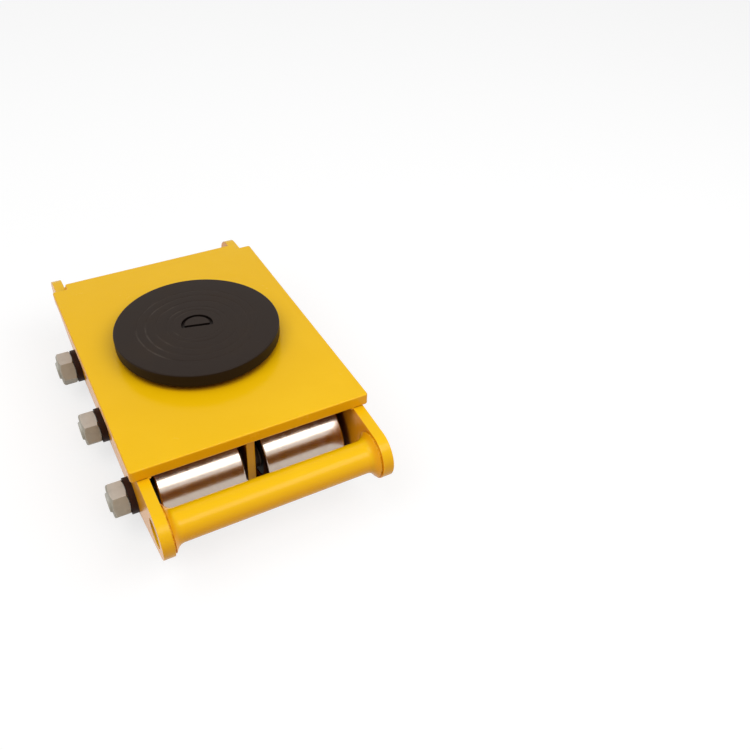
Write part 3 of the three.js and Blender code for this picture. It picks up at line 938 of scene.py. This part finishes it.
def turn_ends(piece, *cuts):
    """Works both ends inwards from the rim, and bores the piece through after the last cut.

    A cut is the width of a ring and how far the face inside it is pushed out, both in millimetres.
    """
    pick_ends(piece)
    for width, out in cuts:
        bpy.ops.mesh.inset(thickness=width * mm)
        if out:
            push(out * mm)
    bpy.ops.mesh.bridge_edge_loops()
    leave()
    face_outwards(piece)


# %% One roller
roller_x, roller_length = along_x("roller_front_right")
roller_radius = 40 * mm
rim_cut = (9.0, -1.2)
pocket_cut = (4.7, -15.2)
bore_cut = (7.3, 0)
roller = rod(roller_radius, roller_length, (roller_x, front_y, axle_height), steps=160)
turn_ends(roller, rim_cut, pocket_cut, bore_cut)
print("roller faces:", len(roller.data.polygons))


# %% Rim and recess chamfers
def off_axis(point, y=front_y):
    return math.hypot(point.y - y, point.z - axle_height)


def on_end(a, b):
    """True for an edge that lies in an end face of the roller."""
    return abs(abs(a.x - roller_x) - roller_length / 2) < near and abs(a.x - b.x) < near


recess_radius = roller_radius - rim_cut[0] * mm
pick(roller, "EDGE", lambda a, b: on_end(a, b) and min(off_axis(a), off_axis(b)) > roller_radius - near)
bpy.ops.mesh.bevel(offset=1.6 * mm, segments=4, affect="EDGES")
leave()
pick(roller, "EDGE", lambda a, b: on_end(a, b) and abs(off_axis(a) - recess_radius) < near)
bpy.ops.mesh.bevel(offset=0.5 * mm, segments=2, affect="EDGES")
leave()
smooth(roller, angle=32)
print("roller faces with chamfers:", len(roller.data.polygons))

# %% [markdown]
# The bearings.
#
# Two ball bearings carry each roller. From outside, a bearing shows its outer race, a rubber seal and
# its inner race, with a fine groove on each side of the seal. Three rings could be fitted together, but
# the seal hides what is between them, so one turned piece will do. The seal, and the oil and painted
# shade on a roller's ends, are a second finish on some of the faces, which keeps the line between two
# finishes sharp.

# %% One bearing
bearing_x, bearing_width = along_x("bearing_front_right_outer")
bearing_radius = 25.95 * mm
outer_race = (4.0, -0.9)
outer_groove = (0.9, 0.4)
seal = (6.6, -0.3)
inner_groove = (0.8, 0.7)
inner_race = (3.3, 0)
bearing = rod(bearing_radius, bearing_width, (bearing_x, front_y, axle_height))
turn_ends(bearing, outer_race, outer_groove, seal, inner_groove, inner_race)
round_edges(bearing, width=0.25 * mm, segments=2, angle=40)
smooth(bearing, angle=32)
print("bearing faces:", len(bearing.data.polygons))


# %% A second finish on some faces
def add_second(piece, y, finish, test):
    """Gives a finish to the faces that pass the test, by their radius and depth from the nearer end."""
    piece.data.materials.append(finish)
    low_x = min(v.co.x for v in piece.data.vertices)
    high_x = max(v.co.x for v in piece.data.vertices)

    def passes(centre, normal):
        return test(off_axis(centre, y), min(centre.x - low_x, high_x - centre.x))

    pick(piece, "FACE", passes)
    piece.active_material_index = 1
    bpy.ops.object.material_slot_assign()
    leave()


# Faces inside this radius get the oily steel that is painted dark as shade.
oily_shaded_within = 38 * mm
seal_inner = 14 * mm
seal_outer = bearing_radius - outer_race[0] * mm
seal_depth = 1.3 * mm


def is_oily_shaded(radius, depth):
    return radius < oily_shaded_within


def is_seal(radius, depth):
    return seal_inner < radius < seal_outer and depth < seal_depth


# %% Six rollers with their bearings
for row, y in rows.items():
    for hand, sign in hands.items():
        body = f"roller_{row}_{hand}_body"
        node = f"roller_{row}_{hand}"
        twin = copy_of(roller, (sign * roller_x - roller_x, y - front_y, 0))
        seat(twin, node + "_ground", body, ground_steel, "ground_steel", node)
        add_second(twin, y, oily_shaded_steel, is_oily_shaded)
        for part in ("outer", "inner"):
            node = f"bearing_{row}_{hand}_{part}"
            ring = copy_of(bearing, (along_x(node)[0] - bearing_x, y - front_y, 0))
            seat(ring, node + "_sealed", body, bearing_steel, "bearing_steel", node)
            add_second(ring, y, seal_rubber, is_seal)
for model in (roller, bearing):
    bpy.data.objects.remove(model)
print("rollers done")

# %% [markdown]
# The axles.
#
# An axle's end shows in the middle of each nut, with its chamfer, its centre hole and the first turns
# of thread. A real thread is a spiral, but so little of it stands out of the nut that plain rings look
# the same and stay light. Each ring is a push outwards that is made narrower or wider.

# %% Axle
axle_x, axle_length = along_x("axle_front")
axle_radius = 10 * mm
thread_step = 1.25 * mm
thread_root = 0.91
chamfer_share = 0.93
thread_shares = [thread_root, 1 / thread_root] * 5 + [thread_root, chamfer_share]
plain_length = axle_length - 2 * thread_step * len(thread_shares)
axle_middle = (axle_x, front_y, axle_height)
axle = rod(axle_radius, plain_length, axle_middle, steps=64)
pick_ends(axle)
for share in thread_shares:
    push(thread_step)
    bpy.ops.transform.resize(value=(1, share, share), center_override=axle_middle)
leave()
print("thread rings:", len(thread_shares) // 2)

# %% Centre hole, and three axles
hole_rim = 6.6 * mm
hole_depth = 1.6 * mm
hole_tip = 0.15
pick_ends(axle)
bpy.ops.mesh.inset(thickness=hole_rim)
push(-hole_depth)
bpy.ops.transform.resize(value=(1, hole_tip, hole_tip), center_override=axle_middle)
leave()
smooth(axle, angle=30)
for row, y in rows.items():
    twin = copy_of(axle, (0, y - front_y, 0))
    seat(twin, f"axle_{row}_threaded", "chassis", zinc, "zinc_steel", f"axle_{row}")
bpy.data.objects.remove(axle)
print("axles:", len(rows))

# %% [markdown]
# The nuts.
#
# A nut's chamfer is turned on a lathe after the hexagon is pressed, so a hexagon and a turned blank are
# made, and only what lies in both is kept. That gives the curved edges of a real nut at no extra cost.

# %% Nut blank
nut_x, nut_thick = along_x("axle_nut_front_right")
nut_place = (nut_x, front_y, axle_height)
nut_flats = 30 * mm
nut_corner = nut_flats / math.sqrt(3)
chamfer_width = 3.2 * mm
chamfer_drop = 1.9 * mm
blank_radius = nut_corner + 0.2 * mm
blank = rod(blank_radius, nut_thick, nut_place, steps=128)
pick_ends(blank)
bpy.ops.mesh.inset(thickness=chamfer_width)
leave()
pick(blank, "VERT", lambda v: off_axis(v) > nut_corner)
bpy.ops.transform.resize(value=(1 - 2 * chamfer_drop / nut_thick, 1, 1), center_override=nut_place)
leave()
print("nut across flats, mm:", round(nut_flats / mm))

# %% Nut
nut_bore = axle_radius + 0.15 * mm
nut = rod(nut_corner, nut_thick, nut_place, steps=6)
cut(nut, blank, operation="INTERSECT")
cut(nut, rod(nut_bore, drill_length, nut_place, steps=64))
round_edges(nut, width=0.45 * mm, segments=2, angle=25)
smooth(nut, angle=28)
print("nut faces:", len(nut.data.polygons))

# %% [markdown]
# The lock washers.
#
# A spring washer under each nut keeps it from working loose. The real one is a single turn of thick wire,
# with a slanting gap between its ends. It could be spun as a spiral, but a tight nut presses it nearly
# flat, so a bored disc with a slanting slit is enough. Its rims are well rounded, as a wire's are.

# %% Lock washer
washer_x, washer_thick = along_x("lock_washer_front_right")
washer_place = (washer_x, front_y, axle_height)
washer_radius = 17 * mm
washer_ring = (6.7, 0)
slit_y = front_y + 15 * mm
slit_size = (20 * mm, 20 * mm, 2.2 * mm)
slit_slant = math.radians(24)
washer = rod(washer_radius, washer_thick, washer_place)
turn_ends(washer, washer_ring)
cut(washer, bar((washer_x, slit_y, axle_height), slit_size, turn=(0, slit_slant, 0)))
round_edges(washer, width=1.3 * mm, segments=4)
smooth(washer)
print("washer faces:", len(washer.data.polygons))

# %% [markdown]
# A nut and a washer at each end of an axle.
#
# Nuts stop where they are tight, so each one is turned by its own angle, the same as its solid. A rod
# with six sides starts with a flat where a solid's nut has a corner, and so the turn is counted from
# half a side, 30 degrees.

# %% Six nuts and washers
half_side = 30
nut_turns = {"left": (19, 15, 23), "right": (41, 8, 33)}


def place_on_axle(piece, old_place, new_place, degrees=0):
    """A copy that is taken to the middle, turned about the axle, and put in its new place."""
    twin = copy_of(piece, -Vector(old_place))
    twin.rotation_euler = (math.radians(degrees), 0, 0)
    twin.location = new_place
    return settle(twin)


for hand, sign in hands.items():
    for (row, y), degrees in zip(rows.items(), nut_turns[hand]):
        twin = place_on_axle(nut, nut_place, (sign * nut_x, y, axle_height), half_side - degrees)
        seat(twin, f"nut_{row}_{hand}_zinc", "chassis", zinc, "zinc_steel", f"axle_nut_{row}_{hand}")
        ring = place_on_axle(washer, washer_place, (sign * washer_x, y, axle_height))
        seat(ring, f"washer_{row}_{hand}_black", "chassis", black_steel, "black_steel",
             f"lock_washer_{row}_{hand}")
for model in (nut, washer):
    bpy.data.objects.remove(model)
print("fastenings done")

# %% [markdown]
# The swivel pad.
#
# The rubber cover is a shallow cup over a steel disc. Rings are moulded in its top, and a half moon is
# pressed in the middle. Each ring is three insets on the top face, worked from the rim inwards. The face
# is lowered after the second and raised again after the third, which leaves a shallow groove. The line
# of the half moon is cut with a half disc that has a smaller one taken out of it.

# %% Pad cover
pad_low, pad_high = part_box("rubber_pad")
cup_wall = 4 * mm
cup_depth = 5 * mm
pad = rod(pad_radius, pad_high.z - pad_low.z, (0, 0, (pad_low.z + pad_high.z) / 2), steps=192, axis="Z")
pick(pad, "FACE", lambda centre, normal: normal.z < -0.9)
bpy.ops.mesh.inset(thickness=cup_wall)
push(-cup_depth)
leave()
print("pad height in mm:", round((pad_high.z - pad_low.z) / mm))

# %% Rings and rim of the pad
ring_depth = 0.22 * mm
now = pad_radius
pick(pad, "FACE", lambda centre, normal: normal.z > 0.9 and centre.z > pad_high.z - near)
for ring_share in reversed(ring_shares):
    ring_radius = ring_share * pad_radius
    bpy.ops.mesh.inset(thickness=now - (ring_radius + ring_width / 2))
    bpy.ops.mesh.inset(thickness=ring_width / 2)
    bpy.ops.transform.translate(value=(0, 0, -ring_depth))
    bpy.ops.mesh.inset(thickness=ring_width / 2)
    bpy.ops.transform.translate(value=(0, 0, ring_depth))
    now = ring_radius - ring_width / 2
leave()
pick(pad, "EDGE", lambda a, b: abs(a.z - b.z) < near and min(a.xy.length, b.xy.length) > pad_radius - near)
bpy.ops.mesh.bevel(offset=1.4 * mm, segments=4, affect="EDGES")
leave()
print("pad faces:", len(pad.data.polygons))

# %% Half moon
mark_radius = 15 * mm
mark_drop = 4 * mm
mark_line = 3.2 * mm
mark_turn = math.radians(-13)
mark_depth = 2.6 * mm
behind = Vector((-math.sin(mark_turn), math.cos(mark_turn), 0))


def half_moon(radius, back, low_z, high_z):
    """A disc cut straight across at a distance behind its middle, and pulled up into a solid."""
    bpy.ops.object.select_all(action="DESELECT")
    bpy.ops.mesh.primitive_circle_add(vertices=96, radius=radius, fill_type="NGON", location=(0, 0, low_z))
    moon = settle(bpy.context.object)
    pick_all(moon)
    bpy.ops.mesh.bisect(plane_co=behind * back, plane_no=behind, clear_inner=True)
    bpy.ops.mesh.select_all(action="SELECT")
    pull(0, 0, high_z - low_z)
    leave()
    face_outwards(moon)
    return moon


groove_top = pad_high.z + 4 * mm
island_top = pad_high.z + 6 * mm
groove = half_moon(mark_radius, -mark_drop, pad_high.z - mark_depth, groove_top)
island = half_moon(mark_radius - mark_line, mark_line - mark_drop, pad_high.z - 2 * mark_depth, island_top)
cut(groove, island)
cut(pad, groove)
smooth(pad, angle=30)
seat(pad, "rubber_pad_ringed", "swivel", pad_rubber, "pad_rubber", "rubber_pad")
print("pad faces with mark:", len(pad.data.polygons))

# %% [markdown]
# Solids that stay.
#
# The turntable, its pin, clip and balls, and the spacer rings are already the right shape and sit in
# gaps of a few millimetres. They keep their solids and only get a finish.

# %% Finishes for the solids that stay
# The steel solids here get the bearing steel, which is painted very dark as shade.
kept = {"turntable": bearing_steel, "pivot_pin": bearing_steel, "ball_ring": bearing_steel,
        "retaining_clip": black_steel}
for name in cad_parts:
    if name.startswith("spacer_"):
        kept[name] = bearing_steel
for name, finish in kept.items():
    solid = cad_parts[name]
    solid.data.materials.clear()
    solid.data.materials.append(finish)
print("kept solids:", len(kept))

# %% [markdown]
# The end.
#
# The look of colours is left plain, so that the skate can be used under any light. The box of the
# dressed skate is written next to the box of the solids, to see that nothing has grown.

# %% Colour view and sizes
bpy.context.scene.view_settings.view_transform = "Standard"
bpy.ops.object.select_all(action="DESELECT")
looks_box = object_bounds()
growth = [round((after - before) / mm, 2) for before, after in
          zip((*cad_box[0], *cad_box[1]), (*looks_box[0], *looks_box[1]))]
print("difference to the solids' box, mm:", growth)
